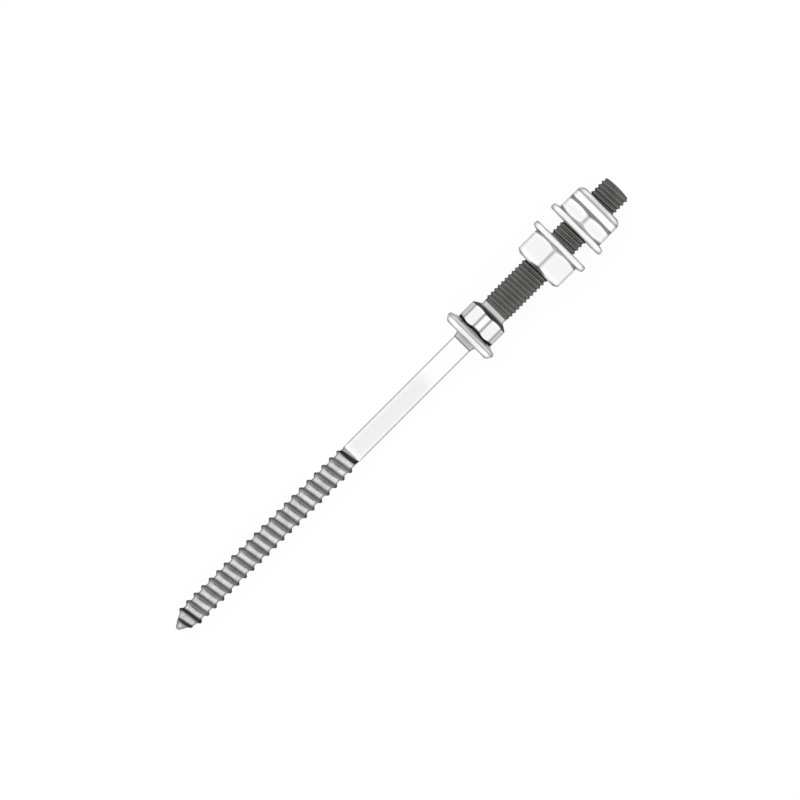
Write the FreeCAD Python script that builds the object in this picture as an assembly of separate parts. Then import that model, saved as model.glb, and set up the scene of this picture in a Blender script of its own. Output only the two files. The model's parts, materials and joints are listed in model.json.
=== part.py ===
import FreeCAD, Part
import math
import os

# Hanger bolt for a solar roof, lying at rest on a flat surface. A wood thread with a point fills one end and a
# metric thread with two flange nuts the other. It is drawn with its axis on X and the underside of its flange
# at x = 0, then laid down. All sizes are in millimetres and all angles in degrees.

# Wood thread, point and shank
seat_to_tip = 125.0
wood_thread_length = 74.8
wood_pitch = 3.25
wood_crest_diameter = 8.0
wood_root_diameter = 6.3
wood_crest_width = 0.5
wood_flank_angle = 40.0
wood_thread_start = 1.7
wood_growth_length = 6.5
wood_fade_length = 2.2
nose_radius = 0.7
point_half_angle = 29.0
point_bend_radius = 5.0
shank_diameter = 6.7
shank_shoulder_length = 1.0
neck_length = 1.8
neck_diameter = 7.7

# Flange forged on the stud
flange_seat_diameter = 16.0
flange_diameter = 18.9
flange_edge_height = 2.1
flange_rim_radius = 0.8
flange_cone_foot_diameter = 13.0

# Hexagonal drive forged on the stud
drive_start = 3.75
drive_height = 6.6
drive_across_flats = 13.5
drive_across_corners = 14.3
drive_chamfer_angle = 35.0
drive_end_diameter = 12.4
drive_shoulder_length = 1.1
collar_diameter = 8.9
collar_end = 12.8

# Metric thread, whose ridge grows out of the collar and follows the rounded end a little ahead of its crest
machine_pitch = 1.5
machine_crest_diameter = 9.85
machine_crest_width = 0.19
machine_root_width = 0.27
machine_flank_angle = 30.0
machine_growth_length = 1.5
machine_root_bevel = 0.5
machine_end = 65.9
machine_end_radius = 1.2
machine_end_dome = 0.3
machine_end_lead = 0.3

# What both flange nuts share
nut_across_flats = 17.0
nut_flange_diameter = 21.0
nut_rim_thickness = 2.0
nut_rim_radius = 0.7
nut_chamfer_angle = 30.0
nut_groove_width = 0.45
nut_groove_depth = 0.15
nut_countersink = 0.6
nut_running_clearance = 0.06

# A nut's own thread, left out of its plain bore and counted in the balance: its inner diameter, and how much of the
# ring out to the bore it fills
nut_thread_inner_diameter = 8.4
nut_thread_share = 0.56

# Lower flange nut, which sets the height
lower_nut_face = 41.4
lower_nut_height = 11.0
lower_nut_end_diameter = 14.4

# Upper flange nut, with the collar that holds its locking insert
clamping_gap = 5.5
upper_hex_height = 6.8
upper_nut_height = 11.8
collar_shoulder_length = 0.6
locking_collar_diameter = 16.9
locking_collar_bend = 2.1
lip_thickness = 0.8

# Locking insert
insert_height = 2.8
insert_diameter = 14.4
insert_top_diameter = 12.6
insert_chamfer_height = 0.9
insert_running_clearance = 0.03
insert_seat_clearance = 0.02

# Weights of the two materials, in grams for each cubic millimetre
steel_weight = 0.0079
nylon_weight = 0.00114

# Derived sizes
tip_x = -seat_to_tip
wood_thread_end = tip_x + wood_thread_length
wood_root_radius = wood_root_diameter / 2
wood_height = (wood_crest_diameter - wood_root_diameter) / 2
flange_radius = flange_diameter / 2
machine_radius = machine_crest_diameter / 2
machine_flank_width = (machine_pitch - machine_crest_width - machine_root_width) / 2
machine_height = machine_flank_width / math.tan(math.radians(machine_flank_angle))
machine_root_radius = machine_radius - machine_height
machine_stop = machine_end - machine_end_dome - machine_end_radius
nut_bore_radius = machine_radius + nut_running_clearance
nut_flange_radius = nut_flange_diameter / 2
nut_rim_corner = min(nut_rim_radius, 0.45 * nut_rim_thickness)
nut_corner_radius = nut_across_flats / math.sqrt(3)
nut_groove_radius = nut_across_flats / 2 - nut_groove_depth
upper_nut_face = lower_nut_face + clamping_gap

# Places where the point's nose, cone and bend meet, as (x, radius)
point_lean = math.radians(point_half_angle)
nose_centre = (tip_x + nose_radius, 0)
nose_side = (nose_centre[0] - nose_radius * math.sin(point_lean), nose_radius * math.cos(point_lean))
cone_length = (wood_root_radius - nose_side[1]) / math.tan(point_lean)
bend_reach = point_bend_radius * math.tan(point_lean / 2)
bend_end = (nose_side[0] + cone_length + bend_reach, wood_root_radius)
bend_centre = (bend_end[0], wood_root_radius - point_bend_radius)
bend_start = (
    bend_centre[0] - point_bend_radius * math.sin(point_lean),
    bend_centre[1] + point_bend_radius * math.cos(point_lean),
)

# How finely a thread's ridge is drawn, the angle of each stretch that it is built in, and how far its foot sinks
# into the root
points_per_turn = 12
ridge_stretch = 180.0
ridge_sink = 0.15

# Angles about the axis start at +Y and grow towards +Z
upwards = 90.0
downwards = 270.0
axis = FreeCAD.Vector(1, 0, 0)
origin = FreeCAD.Vector(0, 0, 0)


def along(x, radius, angle=upwards):
    """Point at a place along the bolt, at a radius and at an angle about the axis."""
    turn = math.radians(angle)
    return FreeCAD.Vector(x, radius * math.cos(turn), radius * math.sin(turn))


def bow(centre, start, end):
    """Arc from start to end about a centre, as its middle and its end."""
    radius = math.dist(centre, start)
    lean = [start[i] + end[i] - 2 * centre[i] for i in range(2)]
    size = math.hypot(*lean)
    return (centre[0] + radius * lean[0] / size, centre[1] + radius * lean[1] / size), end


def turned(start, *steps):
    """Solid turned about the axis. Each step is the next (x, radius), or an arc's middle and end."""
    edges = []
    here = start
    for step in steps:
        if isinstance(step[0], tuple):
            middle, there = step
            edges.append(Part.Arc(along(*here), along(*middle), along(*there)).toShape())
        else:
            there = step
            edges.append(Part.LineSegment(along(*here), along(*there)).toShape())
        here = there
    edges.append(Part.LineSegment(along(*here), along(*start)).toShape())
    return Part.Face(Part.Wire(edges)).revolve(origin, axis, 360)


def hexagon(across_flats, start, end):
    """Hexagonal bar along the axis, with one corner upwards."""
    corner = across_flats / math.sqrt(3)
    corners = [along(start, corner, upwards + 60 * i) for i in range(7)]
    return Part.Face(Part.makePolygon(corners)).extrude(axis * (end - start))


def chamfer(angle, outer, inner):
    """Length along the axis of a chamfer at this angle from square, between two radii."""
    return (outer - inner) * math.tan(math.radians(angle))


def wood_root(x):
    """Radius of the wood thread's root, which follows the point."""
    if x < bend_start[0]:
        return nose_side[1] + (x - nose_side[0]) * math.tan(point_lean)
    if x < bend_end[0]:
        return bend_centre[1] + math.sqrt(point_bend_radius**2 - (bend_end[0] - x) ** 2)
    return wood_root_radius


def eased(share):
    """Smooth rise from 0 to 1."""
    share = min(1.0, max(0.0, share))
    return share * share * (3 - 2 * share)


def wood_crest(x):
    """Height of the wood thread over its root. It grows behind the tip and fades at the shank."""
    grown = eased((x - tip_x) / wood_growth_length)
    left = eased((wood_thread_end - x) / wood_fade_length)
    return wood_height * grown * left


def end_reach(drop):
    """How far past its start the rounding of the metric end has fallen by this much."""
    return math.sqrt(machine_end_radius**2 - max(0.0, machine_end_radius - drop) ** 2)


def end_drop(reach):
    """How far the rounding of the metric end has fallen, this far past its start."""
    return machine_end_radius - math.sqrt(max(0.0, machine_end_radius**2 - max(0.0, reach) ** 2))


def machine_root(x):
    """Radius of the metric thread's root, the same all along."""
    return machine_root_radius


def machine_crest(x):
    """Height of the metric thread over its root."""
    grown = machine_height * eased((x - collar_end) / machine_growth_length)
    rounded = machine_height - end_drop(x + machine_end_lead - machine_stop)
    return min(grown, rounded)


def ridge_corners(first, last, pitch, root, crest, crest_width, flank_angle):
    """The four helical edges of a thread's ridge between two places, and the last angle that they reach."""
    turns = (last - first) / pitch
    count = math.ceil(turns * points_per_turn)
    angles = [360 * turns * i / count for i in range(count + 1)]
    spread = math.tan(math.radians(flank_angle))
    corners = [[], [], [], []]
    for angle in angles:
        x = first + pitch * angle / 360
        height = crest(x)
        top = crest_width / 2
        foot = top + (height + ridge_sink) * spread
        places = [(-foot, -ridge_sink), (-top, height), (top, height), (foot, -ridge_sink)]
        for corner, (shift, rise) in zip(corners, places):
            corner.append(along(x + shift, root(x) + rise, angle))
    lines = []
    for corner in corners:
        line = Part.BSplineCurve()
        line.interpolate(Points=corner, Parameters=angles)
        lines.append(line)
    return lines, angles[-1]


def ridge_span(lines, start, end):
    """Closed stretch of the ridge between two angles."""
    edges = []
    for line in lines:
        stretch = line.copy()
        stretch.segment(start, end)
        edges.append(stretch.toShape())
    faces = [Part.makeRuledSurface(edges[i], edges[(i + 1) % 4]) for i in range(4)]
    for angle in (start, end):
        outline = [line.value(angle) for line in lines]
        faces.append(Part.Face(Part.makePolygon(outline + outline[:1])))
    shell = Part.makeShell(faces)
    shell.sewShape()
    span = Part.makeSolid(shell)
    if span.Volume < 0:
        span.reverse()
    return span


def ridge(*thread):
    """Right-hand helical ridge of a thread, in stretches that meet face to face."""
    lines, last = ridge_corners(*thread)
    count = math.ceil(last / ridge_stretch)
    stops = [last * i / count for i in range(count + 1)]
    return [ridge_span(lines, stops[i], stops[i + 1]) for i in range(count)]


def wood_ridge():
    """Ridge of the wood thread, from behind the tip to the shank."""
    return ridge(tip_x + wood_thread_start, wood_thread_end, wood_pitch, wood_root, wood_crest, wood_crest_width,
                 wood_flank_angle)


def machine_ridge():
    """Ridge of the metric thread, from the collar until the rounded end has taken its whole height."""
    last = machine_stop + end_reach(machine_height) - machine_end_lead
    return ridge(collar_end, last, machine_pitch, machine_root, machine_crest, machine_crest_width,
                 machine_flank_angle)


def stud_body():
    """The stud without its hexagon and its two threads, turned in one outline."""
    shank = shank_diameter / 2
    seat = flange_seat_diameter / 2
    edge_width = flange_radius - seat
    edge_radius = (flange_edge_height**2 + edge_width**2) / (2 * edge_width)
    edge_top = (flange_edge_height, flange_radius)
    rim_centre = (flange_edge_height, flange_radius - flange_rim_radius)
    rim_end = (flange_edge_height + flange_rim_radius, rim_centre[1])
    foot = flange_cone_foot_diameter / 2
    drive_end = drive_start + drive_height
    collar = collar_diameter / 2
    root_end = (machine_stop + end_reach(machine_height), machine_root_radius)
    dome_edge = (machine_end - machine_end_dome, machine_radius - machine_end_radius)
    dome_radius = (dome_edge[1] ** 2 + machine_end_dome**2) / (2 * machine_end_dome)
    return turned(
        (tip_x, 0),
        bow(nose_centre, (tip_x, 0), nose_side),
        bend_start,
        bow(bend_centre, bend_start, bend_end),
        (wood_thread_end, wood_root_radius),
        (wood_thread_end + shank_shoulder_length, shank),
        (-neck_length, shank),
        (0, neck_diameter / 2),
        (0, seat),
        bow((flange_edge_height, flange_radius - edge_radius), (0, seat), edge_top),
        bow(rim_centre, edge_top, rim_end),
        (drive_start, foot),
        (drive_end, foot),
        (drive_end, drive_end_diameter / 2),
        (drive_end + drive_shoulder_length, collar),
        (collar_end, collar),
        (collar_end + machine_root_bevel, machine_root_radius),
        root_end,
        bow((machine_stop, dome_edge[1]), root_end, dome_edge),
        bow((machine_end - dome_radius, 0), dome_edge, (machine_end, 0)),
    )


def stud_drive():
    """Hexagon of the stud, with corners rounded by its forging and a chamfer at each end."""
    foot = flange_cone_foot_diameter / 2
    corner = drive_across_corners / 2
    top = drive_end_diameter / 2
    end = drive_start + drive_height
    blank = turned(
        (drive_start, 0),
        (drive_start, foot),
        (drive_start + chamfer(drive_chamfer_angle, corner, foot), corner),
        (end - chamfer(drive_chamfer_angle, corner, top), corner),
        (end, top),
        (end, 0),
    )
    return hexagon(drive_across_flats, drive_start, end).common(blank)


def stud():
    """The whole stud, rolled and forged from one bar."""
    return stud_body().fuse([stud_drive(), *wood_ridge(), *machine_ridge()]).Solids[0]


def nut_flange():
    """Steps of a nut's outline from its clamping face to the groove behind its flange."""
    front = nut_rim_corner
    back = nut_rim_thickness - nut_rim_corner
    edge = nut_flange_radius - nut_rim_corner
    return [
        (0, edge),
        bow((front, edge), (0, edge), (front, nut_flange_radius)),
        (back, nut_flange_radius),
        bow((back, edge), (back, nut_flange_radius), (nut_rim_thickness, edge)),
        (nut_rim_thickness + nut_groove_width, nut_groove_radius),
    ]


def nut_mouth():
    """Start of a nut's outline, at the countersink of its clamping face."""
    return (0, nut_bore_radius + nut_countersink)


def hex_part(blank, start, end):
    """Blank cut to the nuts' hexagon between two places, and left round elsewhere."""
    ring = turned((start, nut_groove_radius), (end, nut_groove_radius), (end, nut_flange_radius),
                  (start, nut_flange_radius))
    return blank.cut(ring.cut(hexagon(nut_across_flats, start, end))).Solids[0]


def hex_steps(start, end, end_radius):
    """Steps of the hexagon's double chamfer, between two places and up to a radius at its end."""
    return [
        (start + chamfer(nut_chamfer_angle, nut_corner_radius, nut_groove_radius), nut_corner_radius),
        (end - chamfer(nut_chamfer_angle, nut_corner_radius, end_radius), nut_corner_radius),
        (end, end_radius),
    ]


def lower_nut():
    """Plain flange nut, with its clamping face at x = 0 and its hexagon towards +X."""
    start = nut_rim_thickness + nut_groove_width
    end = lower_nut_height
    blank = turned(
        nut_mouth(),
        *nut_flange(),
        *hex_steps(start, end, lower_nut_end_diameter / 2),
        (end, nut_bore_radius + nut_countersink),
        (end - nut_countersink, nut_bore_radius),
        (nut_countersink, nut_bore_radius),
    )
    return hex_part(blank, start, end)


def insert_places():
    """Places of the locking insert along the upper nut: its foot, its shoulder and its top."""
    top = upper_nut_height - lip_thickness
    return top - insert_height, top - insert_chamfer_height, top


def upper_nut():
    """Locking flange nut, with its clamping face at x = 0 and its collar bent in over the insert."""
    start = nut_rim_thickness + nut_groove_width
    collar = locking_collar_diameter / 2
    bend = locking_collar_bend
    bend_side = (upper_nut_height - bend, collar)
    bend_top = (upper_nut_height, collar - bend)
    foot, shoulder, top = insert_places()
    pocket = insert_diameter / 2 + insert_seat_clearance
    opening = insert_top_diameter / 2 + insert_seat_clearance
    blank = turned(
        nut_mouth(),
        *nut_flange(),
        *hex_steps(start, upper_hex_height, nut_groove_radius),
        (upper_hex_height + collar_shoulder_length, collar),
        bend_side,
        bow((bend_side[0], bend_top[1]), bend_side, bend_top),
        (upper_nut_height, opening),
        (top, opening),
        (shoulder, pocket),
        (foot, pocket),
        (foot, nut_bore_radius),
        (nut_countersink, nut_bore_radius),
    )
    return hex_part(blank, start, upper_hex_height)


def locking_insert():
    """Nylon ring in the upper nut's collar, which grips the thread."""
    foot, shoulder, top = insert_places()
    bore = machine_radius + insert_running_clearance
    return turned(
        (foot, bore),
        (foot, insert_diameter / 2),
        (shoulder, insert_diameter / 2),
        (top, insert_top_diameter / 2),
        (top, bore),
    )


def resting_contacts():
    """Rims and crests that can touch a surface under the bolt, as (x, radius)."""
    contacts = [(flange_edge_height, flange_radius), (machine_stop, machine_radius)]
    for step in (nut_rim_corner, nut_rim_thickness - nut_rim_corner):
        contacts.append((lower_nut_face - step, nut_flange_radius))
        contacts.append((upper_nut_face + step, nut_flange_radius))
    x = tip_x + wood_thread_start + wood_pitch * downwards / 360
    while x < wood_thread_end:
        contacts.append((x, wood_root(x) + wood_crest(x)))
        x += wood_pitch
    return contacts


def resting_tilt(balance):
    """Angle of the axis when the bolt lies on the two contacts that carry its centre of mass."""
    pairs = [
        (left, right)
        for left in resting_contacts()
        for right in resting_contacts()
        if left[0] <= balance < right[0]
    ]

    def reach(pair):
        (left, low), (right, high) = pair
        return low + (high - low) * (balance - left) / (right - left)

    (left, low), (right, high) = max(pairs, key=reach)
    return math.degrees(math.atan2(high - low, right - left))


def placed(shape, x, turn=0.0):
    """Shape moved along the axis, after a turn about the vertical."""
    shape.rotate(origin, FreeCAD.Vector(0, 0, 1), turn)
    shape.translate(axis * x)
    return shape


end_for_end = 180.0
pieces = {
    "hanger_stud": stud(),
    "lower_flange_nut": placed(lower_nut(), lower_nut_face, end_for_end),
    "upper_flange_nut": placed(upper_nut(), upper_nut_face),
    "locking_insert": placed(locking_insert(), upper_nut_face),
}

# What weighs on the bolt, as (weight, place along it): the pieces, and the nuts' own threads
loads = []
for name, piece in pieces.items():
    weight = piece.Volume * (nylon_weight if name == "locking_insert" else steel_weight)
    loads.append((weight, piece.CenterOfMass.x))
ring = math.pi * (nut_bore_radius**2 - (nut_thread_inner_diameter / 2) ** 2)
for start, end in (
    (lower_nut_face - lower_nut_height, lower_nut_face),
    (upper_nut_face, upper_nut_face + insert_places()[0]),
):
    loads.append((nut_thread_share * ring * (end - start) * steel_weight, (start + end) / 2))
mass = sum(weight for weight, x in loads)
balance = sum(weight * x for weight, x in loads) / mass

# Lay the bolt down, with its middle over the origin and its lowest contacts on z = 0
tilt = resting_tilt(balance)
for piece in pieces.values():
    piece.rotate(origin, FreeCAD.Vector(0, 1, 0), -tilt)
box = Part.makeCompound(list(pieces.values())).optimalBoundingBox(False, False)
shift = FreeCAD.Vector(-(box.XMin + box.XMax) / 2, 0, -box.ZMin)

os.makedirs("parts", exist_ok=True)
for name, piece in pieces.items():
    piece.translate(shift)
    piece.exportStep(f"parts/{name}.step")
print(f"mass {mass:.1f} g, balance at x = {balance:.2f} mm, resting tilt {tilt:.2f} degrees")
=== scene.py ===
# Solar hanger bolt: stud with its wood thread and machine thread, two flange nuts and the nylon insert.
# Sizes are in millimetres, and places along the bolt start at the underside of the stud's flange.
import json
import math

import bmesh
import bpy
from mathutils import Matrix, Vector


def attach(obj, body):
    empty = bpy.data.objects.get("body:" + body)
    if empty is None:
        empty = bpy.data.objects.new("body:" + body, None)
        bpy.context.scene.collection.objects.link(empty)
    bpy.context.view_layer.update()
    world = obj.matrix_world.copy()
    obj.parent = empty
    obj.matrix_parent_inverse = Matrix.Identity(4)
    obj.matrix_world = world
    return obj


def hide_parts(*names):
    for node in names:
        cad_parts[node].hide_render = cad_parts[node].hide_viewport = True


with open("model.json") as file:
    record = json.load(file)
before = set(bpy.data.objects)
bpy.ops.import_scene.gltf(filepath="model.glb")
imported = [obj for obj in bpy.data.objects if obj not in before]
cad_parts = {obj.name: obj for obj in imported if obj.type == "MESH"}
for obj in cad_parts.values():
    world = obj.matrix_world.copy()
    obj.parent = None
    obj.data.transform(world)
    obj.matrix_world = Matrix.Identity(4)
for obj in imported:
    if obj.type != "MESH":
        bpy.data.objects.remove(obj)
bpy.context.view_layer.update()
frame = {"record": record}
print("frame loaded")


# Where the bolt lies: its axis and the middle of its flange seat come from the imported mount

def mountNamed(name):
    return next(mount for mount in frame["record"]["mounts"] if mount["name"] == name)


seatMount = mountNamed("flange_seat")
boltX = -Vector(seatMount["axis"])
boltY = Vector((0, 1, 0))
boltZ = boltX.cross(boltY)
seatPlace = Vector(seatMount["pos_m"])
seatPlace.y = 0
boltToFrame = Matrix.Translation(seatPlace) @ Matrix((boltX, boltY, boltZ)).transposed().to_4x4()
millimetre = 0.001
cornerAngle = 90  # one corner of every hexagon points up


# Meshes: every piece is a skin of rings, each point at (x along the bolt, radius, shade), where shade is a
# painted tone that carries painted shade and painted highlights

def sectorAngles(offsets):
    # the same offsets, in degrees, after each of the six corners
    return [math.radians(cornerAngle + 60 * side + offset) for side in range(6) for offset in offsets]


def rounded(corners, steps=4):
    # corners are (x, radius, fillet, shade); each fillet becomes a curve, kept clear of its neighbours
    points = []
    for i, (x, r, fillet, shade) in enumerate(corners):
        if fillet <= 0 or i in (0, len(corners) - 1):
            points.append((x, r, shade))
            continue
        here = Vector((x, r))
        before = Vector(corners[i - 1][:2]) - here
        after = Vector(corners[i + 1][:2]) - here
        bend = math.pi - before.angle(after)
        reach = min(fillet * math.tan(bend / 2), 0.48 * before.length, 0.48 * after.length)
        start = here + before.normalized() * reach
        end = here + after.normalized() * reach
        for k in range(steps + 1):
            t = k / steps
            place = start.lerp(here, t).lerp(here.lerp(end, t), t)
            points.append((place.x, place.y, shade))
    return points


class Skin:
    # Grows a mesh ring by ring along the bolt, then welds what coincides
    def __init__(self, angles):
        self.mesh = bmesh.new()
        self.shade = self.mesh.verts.layers.float.new("shade")
        self.angles = angles
        self.last = None

    def vertex(self, j, x, r, shade):
        angle = self.angles[j]
        v = self.mesh.verts.new((x, r * math.cos(angle), r * math.sin(angle)))
        v[self.shade] = shade
        return v

    def face(self, verts, finish):
        self.mesh.faces.new(verts).material_index = finish

    def rings(self, columns, finish=0):
        # columns: for each angle the same number of (x, radius, shade)
        for points in zip(*columns):
            ring = [self.vertex(j, *point) for j, point in enumerate(points)]
            if self.last:
                for j in range(len(ring)):
                    k = (j + 1) % len(ring)
                    self.face((self.last[j], self.last[k], ring[k], ring[j]), finish)
            self.last = ring

    def helix(self, start, end, thread, surface, finish=0):
        # rings sheared along the thread's crest; surface(x, away from the crest, angle) gives radius and shade
        pitch, offsets, crest = thread["pitch"], thread["offsets"], thread["crest"]
        first = math.floor((start - crest) / pitch) - 1
        turns = math.ceil((end - start) / pitch) + 3
        lines = [crest + (first + turn) * pitch + offset for turn in range(turns) for offset in offsets]
        grid = []
        for line in lines:
            row = []
            for j, angle in enumerate(self.angles):
                climb = pitch * (angle - self.angles[0]) / (2 * math.pi)
                x = min(max(line + climb, start), end)
                away = (x - climb - crest + pitch / 2) % pitch - pitch / 2
                row.append(self.vertex(j, x, *surface(x, away, angle)))
            grid.append(row)
        last = len(self.angles) - 1
        for i in range(len(grid) - 1):
            for j in range(last):
                self.face((grid[i][j], grid[i][j + 1], grid[i + 1][j + 1], grid[i + 1][j]), finish)
            # at the end of a turn the mesh goes on one pitch further along
            far = i + len(offsets)
            if far + 1 < len(grid):
                self.face((grid[i][last], grid[far][0], grid[far + 1][0], grid[i + 1][last]), finish)
        self.last = grid[-1]

    def piece(self, name, body, replaced, finishes):
        bmesh.ops.remove_doubles(self.mesh, verts=self.mesh.verts, dist=0.0004)
        bmesh.ops.dissolve_degenerate(self.mesh, edges=self.mesh.edges, dist=0.0004)
        bmesh.ops.recalc_face_normals(self.mesh, faces=self.mesh.faces)
        bmesh.ops.transform(self.mesh, verts=self.mesh.verts, matrix=boltToFrame @ Matrix.Scale(millimetre, 4))
        data = bpy.data.meshes.new(name)
        self.mesh.to_mesh(data)
        loose = sum(1 for edge in self.mesh.edges if len(edge.link_faces) != 2)
        self.mesh.free()
        for finish in finishes:
            data.materials.append(finish.material)
        data.shade_smooth()
        data.set_sharp_from_angle(angle=math.radians(32))
        made = bpy.data.objects.new(name, data)
        bpy.context.scene.collection.objects.link(made)
        weighted = made.modifiers.new("evenNormals", "WEIGHTED_NORMAL")
        weighted.keep_sharp = True
        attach(made, body)
        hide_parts(replaced)
        print(f"{name}: {len(data.polygons)} faces, {loose} open edges")


# Materials: a Wire is one socket, so that shader maths reads as plain Python

class Wire:
    def __init__(self, board, socket):
        self.board = board
        self.socket = socket

    def maths(self, operation, *values):
        return self.board.node("ShaderNodeMath", {"operation": operation}, dict(enumerate(values)))

    def __add__(self, other):
        return self.maths("ADD", self, other)

    def __sub__(self, other):
        return self.maths("SUBTRACT", self, other)

    def __rsub__(self, other):
        return self.maths("SUBTRACT", other, self)

    def __mul__(self, other):
        return self.maths("MULTIPLY", self, other)

    def __abs__(self):
        return self.maths("ABSOLUTE", self)

    __radd__ = __add__
    __rmul__ = __mul__


class Board:
    # The node tree of one material or of the world
    def __init__(self, owner):
        owner.use_nodes = True
        self.material = owner
        self.tree = owner.node_tree
        self.tree.nodes.clear()

    def node(self, kind, settings=None, values=None, output=0):
        made = self.tree.nodes.new(kind)
        for name, setting in (settings or {}).items():
            setattr(made, name, setting)
        for name, value in (values or {}).items():
            if isinstance(value, Wire):
                self.tree.links.new(value.socket, made.inputs[name])
            else:
                made.inputs[name].default_value = value
        return Wire(self, made.outputs[output]) if made.outputs else made

    def grain(self, stretch, detail=2.0, roughness=0.5):
        # noise stretched along or round the bolt, by scales per metre for its three axes
        places = self.node("ShaderNodeTexCoord", output="Object")
        turned = self.node("ShaderNodeMapping", {}, {
            "Vector": places,
            "Rotation": (0, math.atan2(boltX.z, boltX.x), 0),
            "Scale": stretch,
        })
        return self.node("ShaderNodeTexNoise", {}, {
            "Vector": turned, "Scale": 1.0, "Detail": detail, "Roughness": roughness,
        })


def spread(noise, low, high):
    # noise stays near its middle, so that part of it is stretched to run from low to high
    return noise.board.node("ShaderNodeMapRange", {}, {
        "Value": noise, "From Min": 0.3, "From Max": 0.7, "To Min": low, "To Max": high,
    })


def grey(value, warmth=0.0):
    # warmth moves a little of it from blue to red
    return (value * (1 + warmth), value, value * (1 - warmth), 1)


steelLooks = {
    "polished": {"rough": 0.24, "edge": 0.3, "lines": (9000, 700, 700), "depth": 0.0000006,
                 "speckle": 0.015, "stain": 0.01, "warmth": 0.0},
    "woodThread": {"rough": 0.34, "edge": 0.05, "lines": (1500, 1500, 1500), "depth": 0.000003,
                   "speckle": 0.16, "stain": 0.2, "warmth": 0.0},
    "machineThread": {"rough": 0.4, "edge": 0.3, "lines": (3500, 1500, 1500), "depth": 0.000002,
                      "speckle": 0.06, "stain": 0.12, "warmth": 0.012},
    "forged": {"rough": 0.45, "edge": 0.9, "lines": (1500, 1500, 1500), "depth": 0.000002,
               "speckle": 0.05, "stain": 0.04, "warmth": 0.0},
}


def steel(name, rough, edge, lines, depth, speckle, stain, warmth):
    board = Board(bpy.data.materials.new(name))
    shade = board.node("ShaderNodeAttribute", {"attribute_name": "shade"}, output="Fac")
    fine = board.grain(lines)
    cloud = board.grain((320, 320, 320), 4.0)
    # the mesh carries the painted shade of each place, painted shade and painted highlights in the base
    # colour, and two sizes of noise vary it
    tone = shade * spread(fine, 1 - speckle, 1 + speckle / 2) * spread(cloud, 1 - stain, 1 + stain / 2)
    colour = board.node("ShaderNodeMix", {"data_type": "RGBA"}, {
        "Factor": tone, 6: grey(0.0), 7: grey(1.0, warmth),
    }, 2)
    roughness = rough + (1 - shade) * 0.16 + spread(fine, -0.03, 0.05) + spread(cloud, -0.02, 0.03)
    bump = board.node("ShaderNodeBump", {}, {"Height": fine, "Distance": depth, "Strength": 1.0})
    surface = board.node("ShaderNodeBsdfPrincipled", {}, {
        "Base Color": colour, "Roughness": roughness, "Metallic": 1.0,
        "Specular Tint": grey(edge), "Normal": bump,
    })
    board.node("ShaderNodeOutputMaterial", {}, {"Surface": surface})
    return board


def nylon():
    board = Board(bpy.data.materials.new("insertNylon"))
    cloud = board.grain((900, 900, 900), 3.0)
    shade = board.node("ShaderNodeAttribute", {"attribute_name": "shade"}, output="Fac")
    colour = board.node("ShaderNodeMix", {"data_type": "RGBA"}, {
        "Factor": shade * spread(cloud, 0.94, 1.03), 6: grey(0.0), 7: (0.83, 0.82, 0.77, 1),
    }, 2)
    bump = board.node("ShaderNodeBump", {}, {"Height": cloud, "Distance": 0.000006, "Strength": 1.0})
    surface = board.node("ShaderNodeBsdfPrincipled", {}, {
        "Base Color": colour, "Roughness": spread(cloud, 0.42, 0.55), "Normal": bump,
        "Subsurface Weight": 0.15, "Subsurface Scale": 0.001,
    })
    board.node("ShaderNodeOutputMaterial", {}, {"Surface": surface})
    return board


polishedSteel = steel("polishedSteel", **steelLooks["polished"])
woodThreadSteel = steel("woodThreadSteel", **steelLooks["woodThread"])
machineThreadSteel = steel("machineThreadSteel", **steelLooks["machineThread"])
forgedSteel = steel("forgedSteel", **steelLooks["forged"])
insertNylon = nylon()
print("materials made")


# Shapes that several pieces share

def eased(share):
    share = min(1.0, max(0.0, share))
    return share * share * (3 - 2 * share)


def box(place, centre, half, soft):
    # 1 within half of the centre and 0 outside, with soft edges
    return eased((half - abs(place - centre)) / soft + 0.5)


def smoothMax(a, b, blend):
    # the larger of the two, with a soft change from one to the other
    share = max(0.0, blend - abs(a - b)) / blend
    return max(a, b) + share * share * blend / 4


def fromCorner(angle):
    # degrees from the nearest corner of a hexagon
    return (math.degrees(angle) - cornerAngle + 30) % 60 - 30


def hexRadius(angle, apothem, cornerRound):
    # radius of a hexagon's side at an angle, with its corners rounded
    side = (math.degrees(angle) - cornerAngle) % 60 - 30
    straight = apothem / math.cos(math.radians(side))
    centre = (apothem - cornerRound) / math.cos(math.radians(30))
    turn = math.radians(30 - abs(side))
    tangent = math.degrees(math.atan((apothem - cornerRound) * math.tan(math.radians(30)) / apothem))
    if abs(side) < tangent:
        return straight
    return centre * math.cos(turn) + math.sqrt(max(0.0, cornerRound**2 - (centre * math.sin(turn)) ** 2))


def everyAngle(angles, outline):
    return [outline(angle) for angle in angles]


# The machine thread: it grows out of the collar, and its crests follow the rounding at the end of the stud

machineThread = {
    "pitch": 1.5, "crestRadius": 4.925, "rootRadius": 4.42,
    "start": 12.8, "growth": 1.5, "bevel": 0.5, "collarRadius": 4.45,
    "rounding": 1.2, "endRadius": 3.725, "roundingStart": 64.4, "end": 65.55, "dome": 0.3,
    "offsets": [-0.66, -0.54, -0.42, -0.3, -0.18, -0.06, 0.06, 0.18, 0.3, 0.42, 0.54, 0.66, 0.75],
    # the thread's shades paint it dark all over and darker in its roots than on its crests: painted shade
    "crest": 12.8 + 1.5 / 4, "crestShade": 0.205, "rootShade": 0.147,
    # the next line paints the thread brighter between the two nuts and sets how far (painted light), and gives
    # the dome's painted shade
    "paintedLightBetweenNuts": 0.35, "paintedLightBetweenNutsHalf": 3.0, "domeShade": 0.3,
}


def machineProfile(away, height):
    # a rounded rib, as wide as the groove beside it
    wave = 0.5 + 0.5 * math.cos(2 * math.pi * away / machineThread["pitch"])
    return machineThread["rootRadius"] + height * wave


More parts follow.
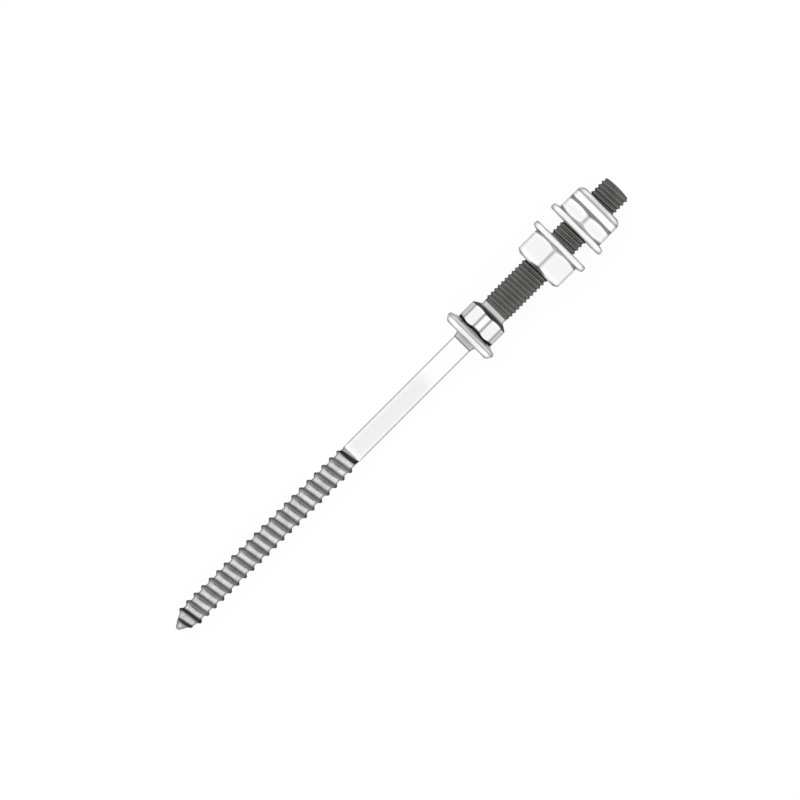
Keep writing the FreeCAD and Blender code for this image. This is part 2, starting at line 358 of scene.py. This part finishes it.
def machineSurface(x, away, angle):
    # ribs that start out of the collar's bevel and end inside the rounding
    t = machineThread
    height = (t["crestRadius"] - t["rootRadius"]) * eased((x - t["start"]) / t["growth"])
    bevel = t["collarRadius"] - (t["collarRadius"] - t["rootRadius"]) * (x - t["start"]) / t["bevel"]
    radius = max(machineProfile(away, height), bevel)
    past = max(0.0, x - t["roundingStart"])
    limit = t["endRadius"] + math.sqrt(max(0.0, t["rounding"] ** 2 - past**2))
    radius = min(radius, limit)
    # the thread is painted dark, darker in its roots than on its crests: painted shade
    share = (radius - t["rootRadius"]) / (t["crestRadius"] - t["rootRadius"])
    shade = t["rootShade"] + (t["crestShade"] - t["rootShade"]) * eased(share)
    # painted light: between the two nuts the thread is painted brighter, to lift the shade that the nuts cast
    # on it
    between = (lowerNut["face"] + upperNut["face"]) / 2
    return radius, shade * (1 + t["paintedLightBetweenNuts"] * box(x, between, t["paintedLightBetweenNutsHalf"], 1.0))


# The stud

stud = {
    "tip": -125.0, "end": 65.9, "noseRadius": 1.0, "pointAngle": 29.0, "bendRadius": 5.0,
    "rootRadius": 3.15, "shankRadius": 3.35, "threadEnd": -50.2, "shoulder": 1.0,
    "neckLength": 1.8, "neckRadius": 3.85, "collarRadius": 4.45,
    "rimMiddle": 2.1, "rimCentre": 8.645, "rimRound": 0.8, "coneLow": 0.14, "coneBulge": 0.6,
    "driveStart": 3.75, "driveEnd": 10.35, "driveFlats": 13.5, "driveCorners": 14.3,
    "driveFoot": 6.5, "driveFace": 6.2, "driveChamfer": 35.0,
    # painted tones: margin for the polished steel, bright for the slightly darker middle of a face, dark for
    # the groove at the hexagon's foot and chamferShade for its end chamfer; all but margin are painted shade
    "bright": 0.9, "margin": 0.98, "dark": 0.05, "chamferShade": 0.13,
}
woodThread = {
    "pitch": 3.25, "height": 0.85, "crestWidth": 0.5, "flank": 40.0, "rootBlend": 0.34,
    "growth": 6.5, "fade": 2.2, "start": 1.0,
    "offsets": [-1.3, -1.06, -0.92, -0.7, -0.5, -0.33, -0.2, 0, 0.2, 0.33, 0.5, 0.7, 0.92, 1.06, 1.3, 1.625],
    "crest": -125.0 + 1.7 + 3.25 / 4,
    # painted shade and a painted highlight for each place along one turn
    "tones": [(-1.625, 0.79), (-1.4, 0.76), (-1.2, 0.7), (-1.0, 0.7), (-0.9, 0.72), (-0.7, 0.64), (-0.5, 0.47),
              (-0.3, 0.32), (-0.1, 0.22), (0.1, 0.17), (0.3, 0.17), (0.65, 0.26), (0.9, 0.45), (1.05, 0.56),
              (1.25, 0.67), (1.45, 0.75), (1.625, 0.79)],
}
studOffsets = [0, 5.4, 9.6, 10.75, 11.9, 16.5, 23, 30, 37, 43.5, 48.1, 49.25, 50.4, 54.6]


def pointPlaces():
    # the rounded nose, the cone and the bend between the cone and the root of the thread
    s = stud
    lean = math.radians(s["pointAngle"])
    centre = s["tip"] + s["noseRadius"]
    side = (centre - s["noseRadius"] * math.sin(lean), s["noseRadius"] * math.cos(lean))
    cone = (s["rootRadius"] - side[1]) / math.tan(lean)
    bendEnd = side[0] + cone + s["bendRadius"] * math.tan(lean / 2)
    bendStart = bendEnd - s["bendRadius"] * math.sin(lean)
    return lean, centre, side, bendStart, bendEnd


def pointRadius(x):
    s = stud
    lean, centre, side, bendStart, bendEnd = pointPlaces()
    if x < side[0]:
        return math.sqrt(max(0.0, s["noseRadius"] ** 2 - (x - centre) ** 2))
    if x < bendStart:
        return side[1] + (x - side[0]) * math.tan(lean)
    if x < bendEnd:
        return s["rootRadius"] - s["bendRadius"] + math.sqrt(s["bendRadius"] ** 2 - (bendEnd - x) ** 2)
    return s["rootRadius"]


def woodSurface(x, away, angle):
    # a flat crest between two flanks, which grows behind the nose and fades before the shank
    s, t = stud, woodThread
    grown = eased((x - s["tip"]) / t["growth"]) * eased((x - s["tip"] - t["start"]) / 0.8)
    fading = eased((s["threadEnd"] - x) / t["fade"])
    height = t["height"] * grown * fading
    fall = max(0.0, abs(away) - t["crestWidth"] / 2) / math.tan(math.radians(t["flank"]))
    blend = min(t["rootBlend"], height)
    rise = smoothMax(height - fall, 0.0, blend) if blend > 0.02 else max(0.0, height - fall)
    shoulder = max(0.0, x - s["threadEnd"]) / s["shoulder"] * (s["shankRadius"] - s["rootRadius"])
    return pointRadius(x) + rise + shoulder, woodShade(x, away, angle)


def toned(tones, place):
    # the shade at a place, read between the two tones beside it
    for (low, first), (high, second) in zip(tones, tones[1:]):
        if place <= high:
            return first + (second - first) * max(0.0, place - low) / (high - low)
    return tones[-1][1]


def woodShade(x, away, angle):
    # painted shade along one turn: a light root, a front flank painted darker towards the crest, and a dark
    # rear flank, with the whole thread painted darker along its two sides
    s, t = stud, woodThread
    shade = toned(t["tones"], away) * (1 - 0.3 * box(math.sin(angle), 0.0, 0.5, 0.4))
    # the first turns are plainer, with a painted dark line behind each crest: painted shade
    nearTip = eased((s["tip"] + 7 - x) / 5)
    shade += (0.52 - shade) * 0.6 * nearTip
    firstTurns = eased((s["tip"] + 9 - x) / 3)
    shade += (0.05 - shade) * firstTurns * box(away, 0.35, 0.6, 0.5)
    # the nose is bare and painted grey (painted shade), with a painted highlight on top
    point = eased((s["tip"] + 2.6 - x) / 0.6)
    shine = box(math.sin(angle), 1.0, 0.1, 0.2) * box(x, s["tip"] + 1.4, 0.6, 0.6)
    shade += (0.34 + 0.42 * shine - shade) * point
    # the last of the thread is painted dark, a painted shade where the run-out ends in a groove, and the
    # shoulder behind it as bright as the shank
    tail = eased((x - s["threadEnd"] + 1.6) / 0.4)
    dark = box(away, 0.15, 0.75, 0.3)
    shade += ((0.42 - 0.38 * dark) - shade) * tail
    bright = eased((x - s["threadEnd"] - 0.65) / 0.3)
    return shade + (s["margin"] - shade) * bright


def shankPlace(angle, x):
    # the shank is painted a little greyer on top away from the flange, and along its two sides: painted shade
    s = stud
    up = math.sin(angle)
    paintedShadeOnTop = 0.12 * box(up, 1.0, 0.45, 0.3) * eased((-14 - x) / 6) * eased((x - s["threadEnd"] - 1.4) / 1.5)
    side = 0.36 * box(up, 0.0, 0.5, 0.3)
    return (x, s["shankRadius"], s["margin"] - paintedShadeOnTop - side)


def studShank(angle):
    s = stud
    start = s["threadEnd"] + s["shoulder"]
    end = -s["neckLength"]
    steps = 24
    places = [start + (end - start) * k / steps for k in range(steps)]
    return [shankPlace(angle, x) for x in [*places, end - 0.12]]


def studFlange(angle):
    # the neck, the seat, the bright front of the rim and its round back; the neck and the rim's edges carry
    # painted shade and the rim's front a painted highlight
    s = stud
    rim = []
    for turn, shade in ((0, 0.55), (18, 0.7), (36, 0.56), (54, 0.52), (72, 0.55), (90, 0.56)):
        around = math.radians(turn)
        x = s["rimMiddle"] + s["rimRound"] * math.sin(around)
        rim.append((x, s["rimCentre"] + s["rimRound"] * math.cos(around), 0, shade))
    return rounded([
        (-s["neckLength"], s["shankRadius"], 0, 0.3),
        (-s["neckLength"] + 0.35, s["shankRadius"] + 0.1, 0.1, 0.28),
        (-s["neckLength"] + 0.6, s["shankRadius"] + 0.17, 0, 0.55),
        (0, s["neckRadius"], 0.15, 0.45),
        (0, 7.8, 0, 0.6),
        (0, 8.0, 0.3, 0.45),
        (0.35, 8.55, 0.5, 0.6),
        (0.6, 8.8, 0, s["margin"]),
        (1.5, 9.3, 0, s["margin"]),
        (1.75, 9.36, 0, 0.4),
        (2.05, 9.435, 0, 0.5),
        *rim,
    ])


def studCone(angle):
    # behind the flange's rim: bare steel that bulges a little at each corner of the hexagon and is painted
    # darker towards the groove at the hexagon's foot, a painted shade; the corner on top is painted bright, a
    # painted highlight
    s = stud
    bulge = box(fromCorner(angle), 0, 13, 12)
    height = s["coneLow"] + s["coneBulge"] * bulge
    bright = bulge * (0.1 + 0.9 * box(math.sin(angle), 1.0, 0.25, 0.3))
    back = s["rimMiddle"] + s["rimRound"]
    inwards = 2.5
    edge = Vector((back + 0.08 + height, s["rimCentre"] - 0.2 - inwards * height))
    foot = Vector((s["driveStart"], s["driveFoot"]))
    return [
        (back + 0.02, s["rimCentre"] - 0.045, 0.7),
        (back + height / 2, s["rimCentre"] - inwards * height / 2, 0.5 + 0.4 * bright),
        (back + height, s["rimCentre"] - inwards * height, 0.36 + 0.4 * bright),
        (*edge, 0.24),
        (*edge.lerp(foot, 0.4), 0.1),
        (*foot, s["dark"]),
    ]


def studDrive(angle):
    # a hexagon with its corners left round by the forging, each between two painted dark lines (painted
    # shade); the middle of each face is painted a little darker and the foot and end chamfer dark, also
    # painted shade
    s = stud
    flat = s["driveFlats"] / 2
    radius = min(hexRadius(angle, flat, 0.3), s["driveCorners"] / 2)
    away = abs(fromCorner(angle))
    line = math.exp(-(((away - 10.75) / 2.6) ** 2))
    # the strips between the lines are painted grey at the four corners that point sideways: painted shade
    strip = 0.4 * box(away, 0, 9.5, 3) * box(abs(math.sin(angle)), 0.5, 0.2, 0.1)
    side = s["margin"] - 0.7 * line - strip * (1 - line)
    middle = side - (s["margin"] - s["bright"]) * eased((away - 12) / 8)
    slope = math.tan(math.radians(s["driveChamfer"]))
    start = s["driveStart"] + (radius - s["driveFoot"]) * slope
    end = s["driveEnd"] - (radius - s["driveFace"]) * slope
    return rounded([
        (s["driveStart"], s["driveFoot"], 0.1, s["dark"]),
        (start - 0.1, radius - 0.12, 0, s["dark"]),
        (start, radius, 0.12, s["dark"]),
        (start + 0.12 + (radius - flat) * 0.7, radius, 0, 0.3),
        (start + 0.2 + (radius - flat) * 0.8, radius, 0, side),
        (start + 1.0, radius, 0, middle),
        (end - 1.0, radius, 0, middle),
        (end, radius, 0.12, side),
        (end + 0.1, radius - 0.12, 0, s["chamferShade"]),
        (s["driveEnd"], s["driveFace"], 0.15, s["chamferShade"]),
        (s["driveEnd"] + 0.6, 5.245, 0, s["chamferShade"]),
        # the collar is painted grey, and dark where the thread starts: painted shade
        (s["driveEnd"] + 0.72, 5.055, 0, 0.75),
        (s["driveEnd"] + 1.1, s["collarRadius"], 0.2, 0.6),
        (machineThread["start"] - 0.15, s["collarRadius"], 0, 0.6),
        (machineThread["start"], s["collarRadius"], 0, 0.12),
    ])


def studEnd(angle):
    # the rounding's last stretch and the low dome that closes it, both painted dark: painted shade
    t = machineThread
    face = t["roundingStart"] + t["rounding"]
    return [
        (t["end"], machineSurface(t["end"], 0.0, 0.0)[0], t["crestShade"]),
        (face, t["endRadius"] + 0.05, t["crestShade"]),
        (face + t["dome"] * 0.45, t["endRadius"] * 0.75, t["domeShade"]),
        (face + t["dome"] * 0.8, t["endRadius"] * 0.42, t["domeShade"]),
        (face + t["dome"], 0, t["domeShade"]),
    ]


def studNose(angle):
    s = stud
    side = pointPlaces()[2]
    places = [s["tip"] + s["noseRadius"] * (1 - math.cos(math.radians(20 * k))) for k in range(4)]
    places += [side[0], s["tip"] + woodThread["start"]]
    # the nose is painted grey: painted shade
    return [(x, pointRadius(x), 0.36) for x in places]


def makeStud():
    s, t, m = stud, woodThread, machineThread
    skin = Skin(sectorAngles(studOffsets))
    skin.rings(everyAngle(skin.angles, studNose), 1)
    skin.helix(s["tip"] + t["start"], s["threadEnd"] + s["shoulder"], t, woodSurface, 1)
    skin.rings(everyAngle(skin.angles, studShank))
    skin.rings(everyAngle(skin.angles, studFlange))
    skin.rings(everyAngle(skin.angles, studCone), 3)
    skin.rings(everyAngle(skin.angles, studDrive))
    skin.helix(m["start"], m["end"], m, machineSurface, 2)
    skin.rings(everyAngle(skin.angles, studEnd), 2)
    skin.piece("hangerStud", "stud", "hanger_stud",
               [polishedSteel, woodThreadSteel, machineThreadSteel, forgedSteel])


# The two flange nuts, drawn from the clamping face; facing is +1 towards the metric end and -1 towards the tip

nutShape = {
    "flats": 17.0, "cornerRound": 0.35, "flange": 10.485, "rim": 2.0, "rimCorner": 0.7, "groove": 8.35,
    "hexStart": 2.45, "bore": 4.985, "countersink": 0.6, "chamfer": 30.0,
    # painted tones: margin at the edges of a face and bright in its slightly darker middle, a painted
    # highlight across the rim between its greyer front and back, painted shade in the groove and in the bore,
    # and chamferEdge for the length of a painted bright strip on the end chamfer
    "bright": 0.9, "margin": 0.98, "rimBright": 0.93, "rimFront": 0.58, "rimBack": 0.78,
    "grooveShade": 0.85, "boreShade": 0.12, "chamferEdge": 0.55,
}
lowerNut = {
    "face": 41.4, "facing": -1, "height": 11.0, "hexEnd": 11.0, "endRadius": 7.2, "cornerShare": 0.5,
    "endShade": 0.6,
}
upperNut = {
    "face": 46.9, "facing": 1, "height": 11.8, "hexEnd": 6.8, "endRadius": 8.35, "cornerShare": 1.0,
    "endShade": 0.3, "shoulderEnd": 7.4, "collar": 8.45, "bend": 2.1, "pocket": 7.22, "opening": 6.32,
    "pocketFoot": 8.2, "shoulder": 10.1, "lip": 0.8,
}
nutOffsets = [0, 0.55, 1.05, 2.2, 3.8, 7, 12, 18, 24, 30, 36, 42, 48, 54, 56.8, 58, 58.95, 59.45]


def nutFoot(angle):
    # from the countersink of the clamping face, out over the flange's rim and down to the groove behind it
    n = nutShape
    # the rim is painted darker along its two sides (painted shade) and carries a painted highlight band across
    # its middle, between a greyer front and back (painted shade)
    side = 0.25 * box(math.sin(angle), 0.0, 0.2, 0.2)
    corner = n["rimCorner"]
    edge = n["flange"] - corner
    rim = []
    for middle, turns in ((corner, (0, 15, 30, 45, 60, 71, 80, 90)),
                          (n["rim"] - corner, (90, 100, 110, 120, 135, 150, 165, 180))):
        for turn in turns:
            around = math.radians(turn)
            x = middle - corner * math.cos(around)
            edgeShade = n["rimFront"] if x < 1 else n["rimBack"]
            shade = edgeShade + (n["rimBright"] - side - edgeShade) * box(x, 1.12, 0.53, 0.2)
            rim.append((x, edge + corner * math.sin(around), 0, shade))
    return [
        (0, n["bore"] + n["countersink"], 0.1, 0.7),
        (0, 9.3, 0, 0.75),
        *rim,
        (n["hexStart"], n["groove"], 0.1, n["grooveShade"]),
    ]


def hexSides(angle, nut):
    # the hexagon's side at this angle, between its two chamfers; a painted dark line runs along each corner
    # and each face is painted a little darker in its middle (painted shade), an edge of the end chamfer stays
    # painted bright (a painted highlight) and the rest of the end chamfer is painted darker (painted shade)
    n = nutShape
    start, end, endRadius = n["hexStart"], nut["hexEnd"], nut["endRadius"]
    flat = n["flats"] / 2
    radius = hexRadius(angle, flat, n["cornerRound"])
    away = abs(fromCorner(angle))
    side = n["margin"] - 0.52 * math.exp(-((away / 3.4) ** 2))
    middle = side - (n["margin"] - n["bright"]) * eased((away - 2) / 9)
    slope = math.tan(math.radians(n["chamfer"]))
    first = start + (radius - n["groove"]) * slope
    last = end - (flat - endRadius + (radius - flat) * nut["cornerShare"]) * slope
    edge = min(n["chamferEdge"], 0.9 * (end - last))
    fall = (radius - endRadius) / (end - last)
    return [
        (first, radius, 0.1, n["grooveShade"]),
        (first + 0.3, radius, 0, side),
        (first + 1.1, radius, 0, middle),
        (last - 1.6, radius, 0, middle),
        (last - 0.8, radius, 0, side),
        (last, radius, 0.6, 0.9 * side + 0.1 * n["margin"]),
        (last + edge, radius - edge * fall, 0, 0.95),
        (last + edge + 0.08, radius - (edge + 0.08) * fall, 0, nut["endShade"]),
        (end, endRadius, 0.12, nut["endShade"]),
    ]


def boreSurface(low, high):
    # the nut's own thread, which follows the stud's with some play and is cut away at each end by a cone; it
    # is painted dark, a painted shade inside the bore
    n, t = nutShape, machineThread
    play = n["bore"] - t["crestRadius"]

    def surface(x, away, angle):
        cone = n["bore"] - min(x - low, high - x)
        radius = play + machineProfile(away, t["crestRadius"] - t["rootRadius"])
        return max(radius, cone), n["boreShade"]
    return surface


def makeNut(name, body, replaced, nut, outside, threadEnd):
    skin = Skin(sectorAngles(nutOffsets))

    def along(x):
        return nut["face"] + nut["facing"] * x

    columns = [rounded(outside(angle)) for angle in skin.angles]
    skin.rings([[(along(x), r, shade) for x, r, shade in points] for points in columns])
    # the thread's first and last rings coincide with the two ends of the outside, and the weld joins them
    low, high = sorted((along(nutShape["countersink"]), along(threadEnd)))
    skin.helix(low, high, machineThread, boreSurface(low, high), 1)
    skin.piece(name, body, replaced, [polishedSteel, machineThreadSteel])


def lowerOutside(angle):
    n, nut = nutShape, lowerNut
    # the countersinks at both ends are painted dark: painted shade in the mouth of the bore
    return [
        (n["countersink"], n["bore"], 0, 0.2),
        *nutFoot(angle),
        *hexSides(angle, nut),
        (nut["height"], n["bore"] + n["countersink"], 0.1, 0.7),
        (nut["height"] - n["countersink"], n["bore"], 0, 0.2),
    ]


def upperOutside(angle):
    # above the hexagon: a shoulder, the round collar bent in over the insert, its lip and the insert's pocket;
    # the shoulder, the lip, the pocket and the countersink are painted dark (painted shade), and the bend is
    # painted in a grey line and a light band (painted shade and a painted highlight)
    n, nut = nutShape, upperNut
    top, bend = nut["height"], nut["bend"]
    bent = []
    for turn, shade in ((0, 0.6), (3, 0.44), (10, 0.42), (17, 0.46), (24, 0.78), (34, 0.82), (45, 0.8),
                        (54, 0.6), (66, 0.45), (80, 0.4)):
        around = math.radians(turn)
        x = top - bend + bend * math.sin(around)
        bent.append((x, nut["collar"] - bend * (1 - math.cos(around)), 0, shade))
    return [
        (n["countersink"], n["bore"], 0, 0.2),
        *nutFoot(angle),
        *hexSides(angle, nut),
        (nut["shoulderEnd"], nut["collar"], 0.1, 0.24),
        (nut["shoulderEnd"] + 0.2, nut["collar"], 0, 0.24),
        (nut["shoulderEnd"] + 0.4, nut["collar"], 0, n["margin"]),
        (top - bend - 0.15, nut["collar"], 0, n["margin"]),
        *bent,
        (top, nut["collar"] - bend, 0, 0.4),
        (top, nut["opening"], 0.1, 0.3),
        (top - nut["lip"], nut["opening"], 0, 0.3),
        (nut["shoulder"], nut["pocket"], 0, 0.3),
        (nut["pocketFoot"], nut["pocket"], 0, 0.3),
        (nut["pocketFoot"], n["bore"], 0, 0.2),
    ]


def makeNuts():
    makeNut("lowerFlangeNut", "lower_nut", "lower_flange_nut", lowerNut, lowerOutside,
            lowerNut["height"] - nutShape["countersink"])
    makeNut("upperFlangeNut", "upper_nut", "upper_flange_nut", upperNut, upperOutside,
            upperNut["pocketFoot"])


# The nylon ring, a little smaller than the pocket that holds it

insertRing = {"clearance": 0.04, "lift": 0.01, "bore": 4.975, "boreEdge": 5.0, "topEdge": 5.1, "bevel": 0.6}


def insertOutline(angle):
    ring, nut = insertRing, upperNut
    foot, shoulder, top = nut["pocketFoot"] + ring["lift"], nut["shoulder"], nut["height"] - nut["lip"]
    outer = nut["pocket"] - ring["clearance"]
    # the bore and its bevel are painted a little darker than the outside and the top: painted shade
    corners = [
        (foot, ring["boreEdge"], 0, 0.9),
        (foot, outer, 0.1, 0.9),
        (shoulder, outer, 0.1, 0.95),
        (top, nut["opening"] - ring["clearance"], 0.25, 1.0),
        (top, ring["topEdge"], 0.3, 0.95),
        (top - ring["bevel"], ring["bore"], 0, 0.8),
        (foot, ring["bore"], 0, 0.8),
        (foot, ring["boreEdge"], 0, 0.9),
    ]
    return [(nut["face"] + x, r, shade) for x, r, shade in rounded(corners)]


def makeInsert():
    count = 96
    skin = Skin([math.radians(360 * j / count) for j in range(count)])
    skin.rings(everyAngle(skin.angles, insertOutline))
    skin.piece("lockingInsert", "upper_nut", "locking_insert", [insertNylon])


makeStud()
makeNuts()
makeInsert()
print("pieces made")


# Floor, light and camera

studio = {
    "floorSize": 6.0, "floorShade": 0.86, "whiteShare": 0.93,
    "skyMiddle": 1.02, "skyEnds": 0.85,
    "lensLength": 1000.0, "sensorWidth": 36.0, "farClip": 20.0,
    "frameWidth": 0.2446, "photoSize": 800,
    "middleX": 397.6, "middleY": 408.1,  # pixels of the photo, at the middle of the bolt
}


def makeFloor():
    half = studio["floorSize"] / 2
    data = bpy.data.meshes.new("floor")
    corners = [(-half, -half, 0), (half, -half, 0), (half, half, 0), (-half, half, 0)]
    data.from_pydata(corners, [], [(0, 1, 2, 3)])
    # the camera sees it nearly white, and the rest of its look keeps the shadow
    board = Board(bpy.data.materials.new("floorWhite"))
    plain = board.node("ShaderNodeBsdfDiffuse", {}, {"Color": grey(studio["floorShade"])})
    white = board.node("ShaderNodeEmission", {}, {"Color": grey(1.0), "Strength": 1.0})
    seen = board.node("ShaderNodeLightPath", output="Is Camera Ray")
    mixed = board.node("ShaderNodeMixShader", {}, {0: seen * studio["whiteShare"], 1: plain, 2: white})
    board.node("ShaderNodeOutputMaterial", {}, {"Surface": mixed})
    data.materials.append(board.material)
    floor = bpy.data.objects.new("floor", data)
    bpy.context.scene.collection.objects.link(floor)


def makeSky():
    # a pale tent, darker towards the two ends of the bolt, white where the camera sees it
    world = bpy.data.worlds.new("tent")
    bpy.context.scene.world = world
    board = Board(world)
    way = board.node("ShaderNodeTexCoord", output="Generated")
    alongBolt = board.node("ShaderNodeSeparateXYZ", {}, {"Vector": way}, "X")
    ends = board.node("ShaderNodeMapRange", {"interpolation_type": "SMOOTHSTEP"}, {
        "Value": abs(alongBolt), "From Min": 0.5, "From Max": 1.0,
        "To Min": studio["skyMiddle"], "To Max": studio["skyEnds"],
    })
    seen = board.node("ShaderNodeLightPath", output="Is Camera Ray")
    strength = ends + (1.0 - ends) * seen
    light = board.node("ShaderNodeBackground", {}, {"Color": grey(1.0), "Strength": strength})
    board.node("ShaderNodeOutputWorld", {}, {"Surface": light})


def makeLamp(name, place, size, power):
    data = bpy.data.lights.new(name, "AREA")
    data.shape = "RECTANGLE"
    data.size, data.size_y = size
    data.energy = power
    lamp = bpy.data.objects.new(name, data)
    lamp.location = place
    lamp.rotation_euler = (-Vector(place)).to_track_quat("-Z", "Y").to_euler()
    lamp.visible_camera = False
    lamp.visible_glossy = False
    bpy.context.scene.collection.objects.link(lamp)


def makeCamera():
    # square to the bolt's axis from straight above, with the bolt running across the picture at 45 degrees
    s = studio
    data = bpy.data.cameras.new("photoCamera")
    data.lens = s["lensLength"]
    data.sensor_width = s["sensorWidth"]
    data.clip_end = s["farClip"]
    right = (boltX - boltY).normalized()
    up = (boltX + boltY).normalized()
    distance = s["frameWidth"] / 2 / (data.sensor_width / 2 / data.lens)
    boltMiddle = seatPlace + boltX * (stud["tip"] + stud["end"]) / 2 * millimetre
    metresPerPixel = s["frameWidth"] / s["photoSize"]
    offset = right * (s["photoSize"] / 2 - s["middleX"]) + up * (s["middleY"] - s["photoSize"] / 2)
    target = boltMiddle + offset * metresPerPixel
    camera = bpy.data.objects.new("photoCamera", data)
    camera.matrix_world = Matrix.Translation(target + boltZ * distance) @ Matrix(
        (right, up, boltZ)).transposed().to_4x4()
    bpy.context.scene.collection.objects.link(camera)
    bpy.context.scene.camera = camera


makeFloor()
makeSky()
makeLamp("keySoftbox", (0.1, 0.5, 0.9), (0.9, 0.5), 4.0)
makeLamp("fillSoftbox", (-0.1, -0.7, 0.6), (0.9, 0.5), 2.0)
makeCamera()
bpy.context.scene.view_settings.view_transform = "Standard"
print("studio made")
